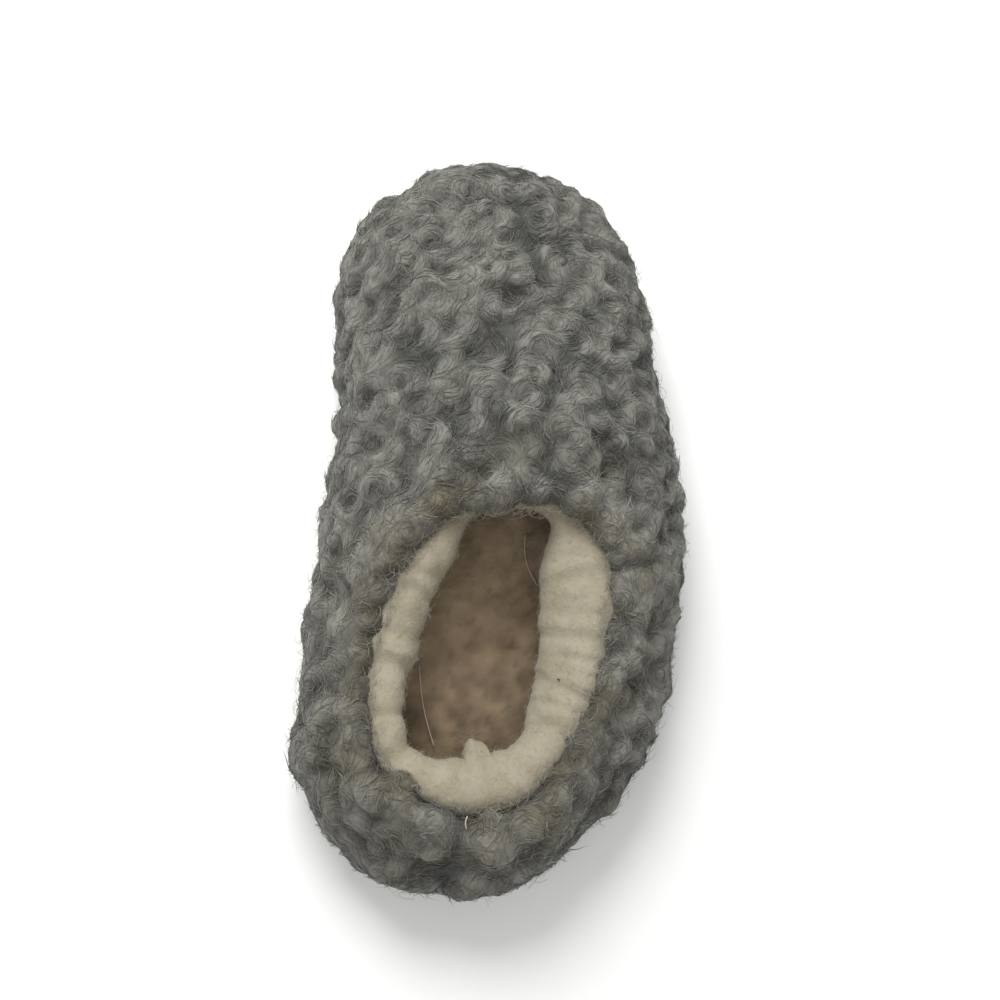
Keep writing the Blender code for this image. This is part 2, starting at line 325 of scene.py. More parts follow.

# Painted shade of the wool: its lightness in the gaps, the painted light that tops gain by their rise over
# the upper's face, the painted shade that the heel and a furrow take away, and its random mottling
GAP_PAINTED_LIGHTNESS = 0.50
TOP_PAINTED_LIGHT = (0.60, -2.6 * MM, 3.8 * MM)
HEEL_PAINTED_SHADE = (0.08, -50 * MM, 50 * MM)
FURROW_PAINTED_SHADE = 0.4
MOTTLING = (0.10, 4 * MM, 13.0)


class FleeceFace:
    """The upper's outer face, from which points and outward directions are drawn."""

    def __init__(self):
        triangles, curled, self.pelt, _ = upper_sides()
        self.triangles = triangles[self.pelt]
        self.curled = curled[self.pelt]
        crosses = crosses_of(self.triangles)
        self.areas = np.linalg.norm(crosses, axis=1) / 2
        keys = np.round(self.triangles.reshape(-1, 3) / SAME_POINT).astype(np.int64)
        _, corner = np.unique(keys, axis=0, return_inverse=True)
        self.corner = corner.reshape(-1, 3)
        self.normals = self.soft_normals(crosses)
        self.roll = search_tree("collar_roll")
        self.upper = search_tree("upper")

    def soft_normals(self, crosses):
        """Outward directions at the corners, evened out over neighbouring triangles."""
        normals = self.gathered(crosses)
        for _ in range(EVENING_ROUNDS):
            normals = self.gathered(normals[self.corner].mean(axis=1))
        return normals

    def gathered(self, directions):
        """Directions of the triangles gathered at their corners."""
        normals = np.zeros((self.corner.max() + 1, 3))
        for k in range(3):
            np.add.at(normals, self.corner[:, k], directions)
        return unit(normals)

    def scatter(self, count, rng, curled=False):
        """Points spread evenly over the face, or its curled part, with their outward directions."""
        areas = self.areas * self.curled if curled else self.areas
        picked = rng.choice(len(areas), count, p=areas / areas.sum())
        a, b = rng.random(count), rng.random(count)
        over = a + b > 1
        a[over], b[over] = 1 - a[over], 1 - b[over]
        shares = np.column_stack([1 - a - b, a, b])
        points = np.einsum("nk,nkc->nc", shares, self.triangles[picked])
        normals = np.einsum("nk,nkc->nc", shares, self.normals[self.corner[picked]])
        return points, unit(normals)

    def spaced(self, spacing, rng):
        """Points that keep a distance from each other, as the roots of the curls do."""
        points, normals = self.scatter(int(self.areas.sum() / spacing**2 * TRIES), rng, curled=True)
        cells = {}
        kept = []
        for k, point in enumerate(points):
            x, y, z = (point // spacing).astype(int)
            near = [other for i, j, h in NEIGHBOURS for other in cells.get((x + i, y + j, z + h), ())]
            if all(np.sum((points[other] - point) ** 2) > spacing**2 for other in near):
                cells.setdefault((x, y, z), []).append(k)
                kept.append(k)
        return points[kept], normals[kept]

    def lightness(self, points):
        """Painted shade in the gaps between curls, in furrows and at the heel, and painted light on the tops.
        """
        near = [self.upper.find_nearest(Vector(point)) for point in points]
        rise = np.array([(Vector(point) - hit[0]).dot(hit[1]) for point, hit in zip(points, near)])
        # Painted shade deep in the gaps, in furrows and towards the heel, painted light on the tops
        depth_painted_shade = GAP_PAINTED_LIGHTNESS + above(rise, *TOP_PAINTED_LIGHT)
        tone = (1 - below(points[:, 1], *HEEL_PAINTED_SHADE)) * (1 + noise_at(points, *MOTTLING))
        return depth_painted_shade * tone * (1 - FURROW_PAINTED_SHADE * furrow_at(points))

    def is_outside(self, points):
        """Which points lie nearest to the outer face."""
        return np.array([self.pelt[self.upper.find_nearest(Vector(point))[2]] for point in points])

    def from_collar(self, points):
        """Distance of each point from the collar roll."""
        return np.array([self.roll.find_nearest(Vector(point))[3] for point in points])


# Seam up the back of the heel: its start, reach in plan and half width, and a distance for points before it
SEAM_HEEL_X = -7.0 * MM
SEAM_REACH = 45.0 * MM
SEAM_CLEAR = 3.2 * MM
FAR_OFF = 1.0


def from_heel_seam(points):
    """Distance in plan from the seam line that runs up the back of the heel, large in front of it."""
    start = np.array([SEAM_HEEL_X, HEEL_Y])
    along = unit(COLLAR_MIDDLE[:2] - start)
    off = points[:, :2] - start
    side = np.abs(off[:, 0] * along[1] - off[:, 1] * along[0])
    return np.where(off @ along < SEAM_REACH, side, FAR_OFF)


# Deep furrows between the curls of the vamp and the outer side, as lines in plan in millimetres, with the
# least distance of a curl's root from them, their half width and how far curls beside them are pressed down
FURROWS = (
    ((-6, 108), (-3, 98), (1, 85), (3, 75)),
    ((-6, 68), (-4, 63), (2, 56), (-8, 50), (-9, 43), (-5, 40)),
    ((17, 50), (18, 39), (14, 29), (7, 18), (7, 12), (11, 5), (11, -3)),
    ((-39, 41), (-36, 37), (-32, 36)),
    ((-19, 41), (-17, 34)),
    ((-27, 22), (-24, 16), (-20, 14)),
    ((29, 15), (34, 11), (38, 4), (40, -3)),
    ((-47, 78), (-46, 69)),
    ((-5, 36), (-6, 26), (-6, 16), (-4, 9)),
    ((10, 93), (11, 86)),
    ((-12, -1), (-8, -3)),
)
FURROW_CLEAR = 2.3 * MM
FURROW_HALF_WIDTH = 2.6 * MM
FURROW_PRESS = 1.6 * MM


def from_furrows(points):
    """Distance in plan from the nearest of the deep furrows."""
    nearest = np.full(len(points), np.inf)
    for line in FURROWS:
        corners = np.array(line) * MM
        for start, end in zip(corners, corners[1:]):
            along = end - start
            share = np.clip((points[:, :2] - start) @ along / (along @ along), 0.0, 1.0)
            off = points[:, :2] - start - share[:, None] * along
            nearest = np.minimum(nearest, np.linalg.norm(off, axis=1))
    return nearest


def furrow_at(points):
    """How deep in a furrow or in the heel seam each point lies, from 0 to 1."""
    nearest = np.minimum(from_furrows(points), from_heel_seam(points))
    return bell(nearest, FURROW_HALF_WIDTH)


# Strands of a curl: width, run, radius that they bend round, share that bend the other way, distance of the
# bend's middle in curl widths, and steps that set neighbouring curls apart
STRAND_PITCH = 0.6 * MM
STRAND_RUN = 4.0 * MM
BEND_RADIUS = 3.0 * MM
LEFT_HANDED = 0.2
BEND_MIDDLE = (0.62, 0.14, 0.35, 0.9)
STRAND_STEP = 3.7
STRAND_STEPS = 50


class Locks:
    """The curls of the fleece: their roots, the way each lies, and the middle that its fibres bend around."""

    def __init__(self, roots, normals, along, settings, rng):
        count = len(roots)
        self.roots = roots
        self.along = along
        self.across = np.cross(normals, along)
        self.sense = np.where(rng.random(count) < LEFT_HANDED, -1.0, 1.0)
        offset = settings.curl_width * varied(rng, count, *BEND_MIDDLE)
        self.middle = roots + self.across * (self.sense * offset)[:, None]
        self.tree = KDTree(count)
        for k, root in enumerate(roots):
            self.tree.insert(root, k)
        self.tree.balance()

    def nearest(self, points):
        return np.array([self.tree.find(point)[1] for point in points])

    def combed_place(self, points):
        """Place of each point in its curl: widths across the strands, runs along them, and the curl's own."""
        lock = self.nearest(points)
        off = points - self.middle[lock]
        forward = np.sum(off * self.along[lock], axis=1)
        outward = -np.sum(off * self.across[lock], axis=1) * self.sense[lock]
        ring = np.hypot(forward, outward) / STRAND_PITCH
        sweep = np.arctan2(forward, outward) * BEND_RADIUS / STRAND_RUN
        return np.column_stack([ring, sweep, lock * STRAND_STEP % STRAND_STEPS])


def tube_mesh(name, paths, radii, upright, sides=3):
    """Many tubes with pointed ends in one mesh: paths is tubes by points by 3, radii tubes by points."""
    tubes, points, _ = paths.shape
    along = unit(np.gradient(paths, axis=1))
    side = unit(np.cross(along, upright[:, None, :]))
    rise = np.cross(side, along)
    turn = 2 * math.pi * np.arange(sides) / sides
    ring = side[:, :, None, :] * np.cos(turn)[:, None] + rise[:, :, None, :] * np.sin(turn)[:, None]
    skin = paths[:, :, None, :] + radii[:, :, None, None] * ring
    skin = skin[:, 1:-1].reshape(tubes, -1, 3)
    verts = np.concatenate([paths[:, :1], skin, paths[:, -1:]], axis=1)
    verts[..., 2] = np.maximum(verts[..., 2], CLEAR_OF_FLOOR)
    corners = verts.shape[1]
    here = np.arange(sides)
    after = (here + 1) % sides
    level = 1 + np.arange(points - 3)[:, None] * sides
    quads = np.stack([level + here, level + sides + here, level + sides + after, level + after], axis=-1)
    last = corners - 1 - sides
    root = np.stack([np.zeros(sides, dtype=int), 1 + here, 1 + after], axis=-1)
    tip = np.stack([np.full(sides, corners - 1), last + after, last + here], axis=-1)
    first = np.arange(tubes)[:, None, None] * corners
    quads = (first + quads.reshape(1, -1, 4)).reshape(-1, 4)
    ends = (first + np.concatenate([root, tip])[None]).reshape(-1, 3)
    mesh = bpy.data.meshes.new(name)
    mesh.from_pydata(verts.reshape(-1, 3), [], [*quads.tolist(), *ends.tolist()])
    mesh.shade_smooth()
    return mesh


def fibre_piece(name, paths, radii, upright, shade, warmth, material, record_slot):
    """A piece made of many fibres, each with its own shade and warmth."""
    mesh = tube_mesh(name, paths, radii, upright)
    corners = len(mesh.vertices) // len(paths)
    set_attribute(mesh, "shade", np.repeat(shade, corners))
    set_attribute(mesh, "warmth", np.repeat(warmth, corners))
    finish_piece(add_object(name, mesh), material)


def set_attribute(mesh, name, values):
    """Numbers, or rows of three, kept at the points of a mesh."""
    values = np.asarray(values, dtype=np.float32)
    kind, field = ("FLOAT", "value") if values.ndim == 1 else ("FLOAT_VECTOR", "vector")
    made = mesh.attributes.new(name, kind, "POINT")
    made.data.foreach_set(field, values.ravel())


def add_object(name, data):
    """A new object in the scene."""
    made = bpy.data.objects.new(name, data)
    bpy.context.scene.collection.objects.link(made)
    return made


def finish_piece(piece, material):
    """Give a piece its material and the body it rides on."""
    piece.data.materials.clear()
    piece.data.materials.append(material)
    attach(piece, BODY)


def choose(piece):
    """Select one object alone and make it active."""
    bpy.ops.object.select_all(action="DESELECT")
    piece.select_set(True)
    bpy.context.view_layer.objects.active = piece


def copy_of(node, name):
    """A copy of a solid, chosen alone, with its loose triangles merged to one skin."""
    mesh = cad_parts[node].data.copy()
    mesh.name = name
    piece = add_object(name, mesh)
    choose(piece)
    bpy.ops.object.mode_set(mode="EDIT")
    bpy.ops.mesh.select_all(action="SELECT")
    bpy.ops.mesh.remove_doubles(threshold=SAME_POINT)
    bpy.ops.mesh.select_all(action="DESELECT")
    bpy.ops.object.mode_set(mode="OBJECT")
    return piece


def apply_remesh(piece, grain):
    """Rebuild the chosen piece as one even skin of a grain."""
    even = piece.modifiers.new("even", "REMESH")
    even.mode = "VOXEL"
    even.voxel_size = grain
    bpy.ops.object.modifier_apply(modifier=even.name)


# Materials

# Sockets of the node that mixes two colours
MIX_SHARE = 0
MIX_FIRST = 6
MIX_SECOND = 7
MIX_RESULT = 2

# Ranges of the combed streaks and the felted clouds: from low and high, to low and high
STREAKS = (0.3, 0.7, 0.72, 1.3)
CLOUDS = (0.42, 0.78, 0.0, 0.55)


def add_node(tree, kind, settings=(), links=()):
    """Add a node, give it settings by property or input, and link its inputs."""
    made = tree.nodes.new(kind)
    for key, value in settings:
        if isinstance(key, str) and hasattr(made, key):
            setattr(made, key, value)
        else:
            made.inputs[key].default_value = value
    for key, socket in links:
        tree.links.new(socket, made.inputs[key])
    return made


def kept_at_points(tree, name, output="Fac"):
    """What an attribute keeps at the points of a mesh."""
    return add_node(tree, "ShaderNodeAttribute", [("attribute_name", name)]).outputs[output]


def mixed_colours(tree, first, second, share):
    """A mix of two colours, with a socket for the share of the second."""
    colours = [(MIX_FIRST, (*first, 1)), (MIX_SECOND, (*second, 1))]
    mix = add_node(tree, "ShaderNodeMix", [("data_type", "RGBA"), *colours], [(MIX_SHARE, share)])
    return mix.outputs[MIX_RESULT]


def dimmed(tree, colour, factor):
    """A colour made lighter or darker by a factor."""
    links = [(0, colour), ("Scale", factor)]
    return add_node(tree, "ShaderNodeVectorMath", [("operation", "SCALE")], links).outputs[0]


def relief(tree, shader, height, strength):
    """Bump of the shader's surface."""
    settings = [("Strength", strength), ("Distance", 0.5 * MM)]
    bump = add_node(tree, "ShaderNodeBump", settings, [("Height", height)])
    tree.links.new(bump.outputs["Normal"], shader.inputs["Normal"])


def start_material(name, roughness, sheen):
    """A new material with its Principled shader, set for matt wool."""
    material = bpy.data.materials.new(name)
    material.use_nodes = True
    tree = material.node_tree
    shader = tree.nodes["Principled BSDF"]
    shader.inputs["Roughness"].default_value = roughness
    shader.inputs["Sheen Weight"].default_value = sheen
    shader.inputs["Sheen Roughness"].default_value = 0.5
    shader.inputs["Specular IOR Level"].default_value = 0.2
    return material, tree, shader


def noise_texture(tree, vector, scale, detail, distortion=0.0):
    """A noise texture over a vector."""
    settings = [("Scale", scale), ("Detail", detail), ("Roughness", 0.6), ("Distortion", distortion)]
    return add_node(tree, "ShaderNodeTexNoise", settings, [("Vector", vector)]).outputs["Fac"]


def brought_to(tree, value, low, high, to_low, to_high):
    """A value brought from one range to another."""
    settings = [("From Min", low), ("From Max", high), ("To Min", to_low), ("To Max", to_high)]
    return add_node(tree, "ShaderNodeMapRange", settings, [("Value", value)]).outputs[0]


def wool_fibre_material(name, colour, second, combed=0.0):
    """Wool fibre: matt, with a soft sheen, each fibre lighter or darker, combed strands in relief."""
    material, tree, shader = start_material(name, roughness=0.85, sheen=0.2)
    tinted = mixed_colours(tree, colour, second, kept_at_points(tree, "warmth"))
    shaded = dimmed(tree, tinted, kept_at_points(tree, "shade"))
    if combed:
        strands = noise_texture(tree, kept_at_points(tree, "comb", "Vector"), 1.0, detail=3.0, distortion=0.3)
        shaded = dimmed(tree, shaded, brought_to(tree, strands, *STREAKS))
        relief(tree, shader, strands, combed)
    tree.links.new(shaded, shader.inputs["Base Color"])
    return material


def felted_wool_material(name, colour, second, fibre, lump, bump):
    """Felted wool: short matted fibres, cloudy in colour, with soft lumps and no gloss."""
    material, tree, shader = start_material(name, roughness=0.93, sheen=0.15)
    where = add_node(tree, "ShaderNodeTexCoord").outputs["Object"]
    clouds = brought_to(tree, noise_texture(tree, where, 1 / lump, detail=3.0), *CLOUDS)
    # The second colour comes in by clouds and by the shade attribute, which carries painted shade in the
    # roll's creases, low in the lining and over the insole, and the darker wool of the roll's throat
    settings = [("operation", "SUBTRACT"), (0, 1.0), ("use_clamp", True)]
    worn = add_node(tree, "ShaderNodeMath", settings, [(1, kept_at_points(tree, "shade"))]).outputs[0]
    share = add_node(tree, "ShaderNodeMath", [("operation", "MAXIMUM")], [(0, clouds), (1, worn)]).outputs[0]
    tree.links.new(mixed_colours(tree, colour, second, share), shader.inputs["Base Color"])
    relief(tree, shader, noise_texture(tree, where, 1 / fibre, detail=4.0, distortion=0.5), bump)
    return material


# Pieces


# Points along a curl and a fibre, sides of a curl, and its arch from root to tip in half turns
CURL_POINTS = 9
CURL_SIDES = 10
FIBRE_POINTS = 5
ARCH_START = -0.05
ARCH_END = 1.12

# Piece of the pile, and the share of the slipper's length from the heel where it ends
PILE_PIECES = (
    ("pile_heel", 0.22),
    ("pile_quarter", 0.44),
    ("pile_instep", 0.64),
    ("pile_vamp", 0.82),
    ("pile_toe", 1.01),
)

# Wear: distance from the collar where it starts to fade, wear at the heel, and its patches
WORN_EDGE = 4 * MM
WORN_HEEL = (0.3, -60 * MM, 40 * MM)
WORN_NOISE = (0.12, 22 * MM)

# Felting low on the sides, round the heel and in patches, and soiling of the worn wool
FELTED_SIDES = (0.75, 38 * MM, 16 * MM)
FELTED_HEEL = (0.7, -20 * MM, 50 * MM)
FELTED_PATCHES = 0.45
FELTED_MIDDLE = 0.4
FELTED_NOISE = (1.6, 34 * MM, 11.0)
SOILED_MIDDLE = 0.45
SOILED_NOISE = (1.1, 15 * MM, 5.0)

# The way curls lie: turn from the toe to the outer side in radians, its swirls and its scatter
SWIRL_MIDDLE = 0.4
SWIRL_NOISE = (0.8, 30 * MM, 7.0)
SWIRL_SCATTER = 0.45
NEVER_ZERO = 1e-6

# Curls: size, bend in half lengths and its balance, overlap in widths, what felting and trimming change
CURL_SIZE = (1.0, 0.2, 0.6, 1.5)
CURL_BEND = (0.7, 0.3, 0.0, 1.3)
BEND_BALANCE = 0.4
CURL_OVERLAP = 0.6
FELTED_WIDER = 0.35
FELTED_LONGER = 0.15
FELTED_FLATTER = 0.3
TRIMMED_SHORTER = 0.5

# Rise of the curls over the upper's face in millimetres, its scatter, what felting and trimming take off
CURL_PROUD = 0.8
PROUD_SCATTER = 0.35
FELTED_LOWER = 0.6
TRIMMED_LOWER = 0.4 * MM

# Cloudy shade of the skin that curls and backing grow to
SKIN_LIGHTNESS = 0.97
SKIN_CLOUDS = (0.10, 30 * MM, 3.0)

# Pile: tries for each fibre, its thickness, tone, length, lift and heading, its tip and root in millimetres,
# and what felting adds
FIBRE_TRIES = 1.9
FIBRE_THICKNESS_SPREAD = 0.4
FIBRE_THICKNESS_RANGE = (0.5, 2.4)
LOCK_TONE = (1.0, 0.08, 0.8, 1.2)
FIBRE_TONE = (1.08, 0.14, 0.6, 1.6)
FIBRE_REACH = (1.0, 0.3, 0.4, 1.8)
FIBRE_LIFT = (0.15, 0.2, 0.0, 1.0)
FIBRE_ASTRAY = 0.2
FELTED_ASTRAY = 2.0
TIP_LIFT = (0.8, 0.35)
FELTED_TIP = 0.8
ROOT_DEPTH = 0.15


def worn_at(face, points, settings):
    """How worn the wool is: fully at the collar's edge, partly at the heel, hardly on the vamp."""
    edge = 1 - above(face.from_collar(points), 1.0, WORN_EDGE, settings.felted_reach)
    worn = np.maximum(edge, below(points[:, 1], *WORN_HEEL))
    return np.clip(worn + noise_at(points, *WORN_NOISE), 0.0, 1.0)


def felted_at(face, points, settings):
    """How felted the wool is: where it is worn, low on the sides, round the heel, and in patches."""
    sides = below(points[:, 2], *FELTED_SIDES)
    heel = below(points[:, 1], *FELTED_HEEL)
    patches = FELTED_PATCHES * smooth_step(FELTED_MIDDLE + noise_at(points, *FELTED_NOISE))
    return np.max([worn_at(face, points, settings), sides, heel, patches], axis=0)


def soiled_at(face, points, settings):
    """How far the wool's colour has gone from grey to the worn tint."""
    worn = worn_at(face, points, settings)
    return np.clip(worn * (SOILED_MIDDLE + noise_at(points, *SOILED_NOISE)), 0.0, 1.0)


def laid_out(starts, x, y, z, along, across, normals):
    """Paths that go from their starts by distances along, across and off the surface at each point."""
    return (
        starts[:, None, :]
        + x[..., None] * along[:, None, :]
        + y[..., None] * across[:, None, :]
        + z[..., None] * normals[:, None, :]
    )


class SLIPPER_OT_fleece(bpy.types.Operator):
    """Curly fleece of the upper: puffy curls grown together over the backing, with combed fibres on them"""

    bl_idname = "slipper.fleece"
    bl_label = "Curly fleece"

    def execute(self, context):
        settings = context.scene.slipper_fleece
        rng = np.random.default_rng(11)
        face = FleeceFace()
        points, normals = face.spaced(settings.curl_spacing, rng)
        clear = (from_heel_seam(points) > SEAM_CLEAR) & (from_furrows(points) > FURROW_CLEAR)
        points, normals = points[clear], normals[clear]
        felted = felted_at(face, points, settings)
        along = self.combed(points, normals, felted, rng)
        locks = Locks(points, normals, along, settings, rng)
        trimmed = worn_at(face, points, settings)
        paths, radii = self.curls(locks, normals, felted, trimmed, settings, rng)
        curls = tube_mesh("curls", paths, radii, normals, CURL_SIDES)
        piece = self.grow_together(curls, settings)
        mesh = piece.data
        where = points_of(mesh)
        clouds = SKIN_LIGHTNESS + noise_at(where, *SKIN_CLOUDS)
        # The skin's shade: painted shade of gaps, furrows and heel, times random clouds
        set_attribute(mesh, "shade", face.lightness(where) * clouds)
        set_attribute(mesh, "warmth", soiled_at(face, where, settings))
        set_attribute(mesh, "comb", locks.combed_place(where))
        material = wool_fibre_material("curly_wool_fleece", settings.grey, settings.worn, combed=0.9)
        finish_piece(piece, material)
        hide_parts("upper")
        self.pile(mesh, face, locks, settings, rng)
        return {"FINISHED"}

    def combed(self, points, normals, felted, rng):
        """The way each curl lies: swirling, mostly to the toe and the outer side, less so where felted."""
        scatter = rng.normal(0, SWIRL_SCATTER, len(points)) * (1 + felted)
        swirl = SWIRL_MIDDLE + noise_at(points, *SWIRL_NOISE) + scatter
        toe = unit(np.array([0.0, 1.0, 0.0]) - normals * (normals[:, 1:2] - NEVER_ZERO))
        out = np.cross(toe, normals)
        return toe * np.cos(swirl)[:, None] + out * np.sin(swirl)[:, None]

    def curls(self, locks, normals, felted, trimmed, settings, rng):
        """Paths and radii of the curls, shorter and lower where they are trimmed beside the collar."""
        count = len(locks.roots)
        size = varied(rng, count, *CURL_SIZE)
        half_width = settings.curl_width / 2 * size * (1 + FELTED_WIDER * felted)
        straight = settings.curl_length - settings.curl_width * CURL_OVERLAP
        half_length = straight / 2 * size * (1 + FELTED_LONGER * felted - TRIMMED_SHORTER * trimmed)
        height = (settings.curl_height - settings.curl_width / 2) * size * (1 - FELTED_FLATTER * felted)
        bend = varied(rng, count, *CURL_BEND) * half_length * locks.sense
        spread = (1 - np.cos(math.pi * np.linspace(0, 1, CURL_POINTS))) / 2
        turn = math.pi * (ARCH_START + (ARCH_END - ARCH_START) * spread)
        x = -np.cos(turn) * half_length[:, None]
        y = bend[:, None] * (np.cos(turn) ** 2 - BEND_BALANCE)
        z = np.sin(turn) * height[:, None]
        proud = rng.normal(CURL_PROUD, PROUD_SCATTER, count) * (1 - FELTED_LOWER * felted) * MM
        proud -= FURROW_PRESS * furrow_at(locks.roots) + TRIMMED_LOWER * trimmed
        foot = locks.roots - normals * (height + half_width - proud)[:, None]
        fullness = np.sqrt(np.maximum(1 - (2 * spread - 1) ** 2, 0.0))
        return laid_out(foot, x, y, z, locks.along, locks.across, normals), half_width[:, None] * fullness

    def grow_together(self, curls, settings):
        """The curls and the let-in backing, grown together to one soft skin."""
        _, curled, _, _ = upper_sides()
        piece = copy_of("upper", "curly_fleece")
        piece.data.polygons.foreach_set("select", curled)
        bpy.ops.object.mode_set(mode="EDIT")
        bpy.ops.mesh.select_mode(type="FACE")
        bpy.ops.transform.shrink_fatten(value=-settings.backing_depth)
        bpy.ops.object.mode_set(mode="OBJECT")
        add_object("curls", curls).select_set(True)
        bpy.ops.object.join()
        apply_remesh(piece, settings.skin_grain)
        soft = piece.modifiers.new("soft", "SMOOTH")
        soft.factor = 0.5
        soft.iterations = 2
        bpy.ops.object.modifier_apply(modifier=soft.name)
        points = points_of(piece.data)
        points[:, 2] = np.maximum(points[:, 2], CLEAR_OF_FLOOR)
        move_points(piece.data, points)
        piece.data.shade_smooth()
        return piece

    def pile(self, mesh, face, locks, settings, rng):
        """Fine fibres combed over the skin, in arcs round the middle of the nearest curl."""
        points, corners = triangles_of(mesh)
        skin = BVHTree.FromPolygons(points.tolist(), corners.tolist())
        triangles = points[corners]
        crosses = crosses_of(triangles)
        areas = np.linalg.norm(crosses, axis=1)
        picked = rng.choice(len(areas), int(settings.fibres * FIBRE_TRIES), p=areas / areas.sum())
        starts, normals = triangles[picked].mean(axis=1), unit(crosses[picked])
        outside = face.is_outside(starts)
        starts, normals = starts[outside][: settings.fibres], normals[outside][: settings.fibres]
        nearest = locks.nearest(starts)
        felted = felted_at(face, starts, settings)
        middles, senses = locks.middle[nearest], locks.sense[nearest]
        paths = self.lay(skin, starts, normals, middles, senses, felted, settings, rng)
        count = len(starts)
        thickness = np.clip(rng.lognormal(0.0, FIBRE_THICKNESS_SPREAD, count), *FIBRE_THICKNESS_RANGE)
        radii = np.outer(settings.fibre_thickness / 2 * thickness, np.ones(FIBRE_POINTS))
        lock_tone = varied(rng, len(locks.roots), *LOCK_TONE)[nearest]
        # Each fibre takes the wool's painted shade, times random tones of its curl and its own
        shade = face.lightness(starts) * lock_tone * varied(rng, count, *FIBRE_TONE)
        warmth = soiled_at(face, starts, settings)
        material = wool_fibre_material("combed_wool_fibre", settings.grey, settings.worn)
        low, high = CAD_BOX[0][1], CAD_BOX[1][1]
        share = (starts[:, 1] - low) / (high - low)
        part = np.searchsorted([end for _, end in PILE_PIECES], share, side="right")
        for k, (name, _) in enumerate(PILE_PIECES):
            fibres = (values[part == k] for values in (paths, radii, normals, shade, warmth))
            fibre_piece(name, *fibres, material, "grey_fleece")

    def lay(self, skin, starts, normals, middles, senses, felted, settings, rng):
        """Paths that follow the skin in arcs round their curl's middle, their tips lifted now and then."""
        count = len(starts)
        astray = rng.normal(0.0, FIBRE_ASTRAY, count) * (1 + FELTED_ASTRAY * felted)
        reach = settings.fibre_length * varied(rng, count, *FIBRE_REACH) / (FIBRE_POINTS - 1)
        t = np.linspace(0, 1, FIBRE_POINTS)
        lift = varied(rng, count, *FIBRE_LIFT)[:, None] * np.sin(math.pi * t)
        tip = (rng.gamma(*TIP_LIFT, count) * (1 + FELTED_TIP * felted))[:, None] * t**3
        height = (lift + tip - ROOT_DEPTH * (1 - t) ** 2) * MM
        paths = np.empty((count, FIBRE_POINTS, 3))
        for k in range(count):
            here, up, middle = Vector(starts[k]), Vector(normals[k]), Vector(middles[k])
            for j in range(FIBRE_POINTS):
                paths[k, j] = here + up * height[k, j]
                round_middle = up.cross(here - middle).normalized() * senses[k]
                way = round_middle * math.cos(astray[k]) + up.cross(round_middle) * math.sin(astray[k])
                here, up = skin.find_nearest(here + way * reach[k])[:2]
        return paths


# Single fibres of the fleece, the collar's edge and the roll: their sizes, and their tone
STRAY = {"length": 5.0 * MM, "rise": 1.3 * MM, "thickness": 0.15 * MM}
FRINGE = {"length": 5.5 * MM, "rise": 1.4 * MM, "thickness": 0.17 * MM}
ROLL_FIBRE = {"length": 3.2 * MM, "rise": 0.8 * MM, "thickness": 0.1 * MM, "steps": 4}
STRAY_TONE = (1.15, 0.15, 0.6, 1.7)
FRINGE_TONE = (1.7, 0.3, 1.0, 2.4)
ROLL_FIBRE_TONE = (1.3, 0.1, 1.0, 1.6)
ROLL_FIBRE_WARMTH = 0.15

# Fringe: tries for each fibre, width of its band, height of its roots, and its warmth, more at the throat
FRINGE_TRIES = 14
FRINGE_BAND = 3.5 * MM
FRINGE_HEIGHT = 1.0 * MM
FRINGE_WARMTH = 0.3
FRINGE_WARMTH_SCATTER = 0.2
THROAT_WARMER = (0.6, -45 * MM, 25 * MM)

# Single fibres: heading, length, curl in radians, lift, bow in half turns, root, thickness and taper, and a
# direction that is askew to the surfaces
HEADING_SCATTER = 0.7
SINGLE_REACH = (1.0, 0.35, 0.3, 2.0)
SINGLE_CURL = 1.3
SINGLE_LIFT = (0.6, 0.5, 0.0, 1.8)
SINGLE_BOW = 0.75
SINGLE_ROOT = 0.8 * MM
SINGLE_THICKNESS = (0.7, 1.2)
SINGLE_TAPER = 0.75
ASKEW = np.array([0.3, 0.2, 1.0])


class SLIPPER_OT_strays(bpy.types.Operator):
    """Loose single fibres that stand off the fleece and blur its outline"""

    bl_idname = "slipper.strays"
    bl_label = "Stray fibres"

    def execute(self, context):
        settings = context.scene.slipper_fleece
        rng = np.random.default_rng(23)
        face = FleeceFace()
        points, normals = face.scatter(settings.strays, rng)
        paths, radii = fibre_paths(points, normals, rng, **STRAY)
        shade = varied(rng, len(points), *STRAY_TONE)
        warmth = soiled_at(face, points, settings)
        material = wool_fibre_material("loose_wool_fibre", settings.grey, settings.worn)
        fibre_piece("stray_fibres", paths, radii, normals, shade, warmth, material, "grey_fleece")
        self.fringe(face, settings, material, rng)
        return {"FINISHED"}

    def fringe(self, face, settings, material, rng):
        """Fibres of the collar's edge that lie over on to the roll, warmest in colour at the throat."""
        points, normals = face.scatter(settings.fringe * FRINGE_TRIES, rng)
        past_edge = face.from_collar(points) - bare_edge(round_collar(points))
        near = (past_edge > 0) & (past_edge < FRINGE_BAND)
        points, normals = points[near][: settings.fringe], normals[near][: settings.fringe]
        towards = unit(COLLAR_MIDDLE - points)
        paths, radii = fibre_paths(points + normals * FRINGE_HEIGHT, normals, rng, heading=towards, **FRINGE)
        shade = varied(rng, len(points), *FRINGE_TONE)
        warmth = FRINGE_WARMTH + above(points[:, 1], *THROAT_WARMER)
        warmth = np.clip(warmth + rng.normal(0, FRINGE_WARMTH_SCATTER, len(points)), 0.0, 1.0)
        fibre_piece("collar_fringe", paths, radii, normals, shade, warmth, material, "grey_fleece")


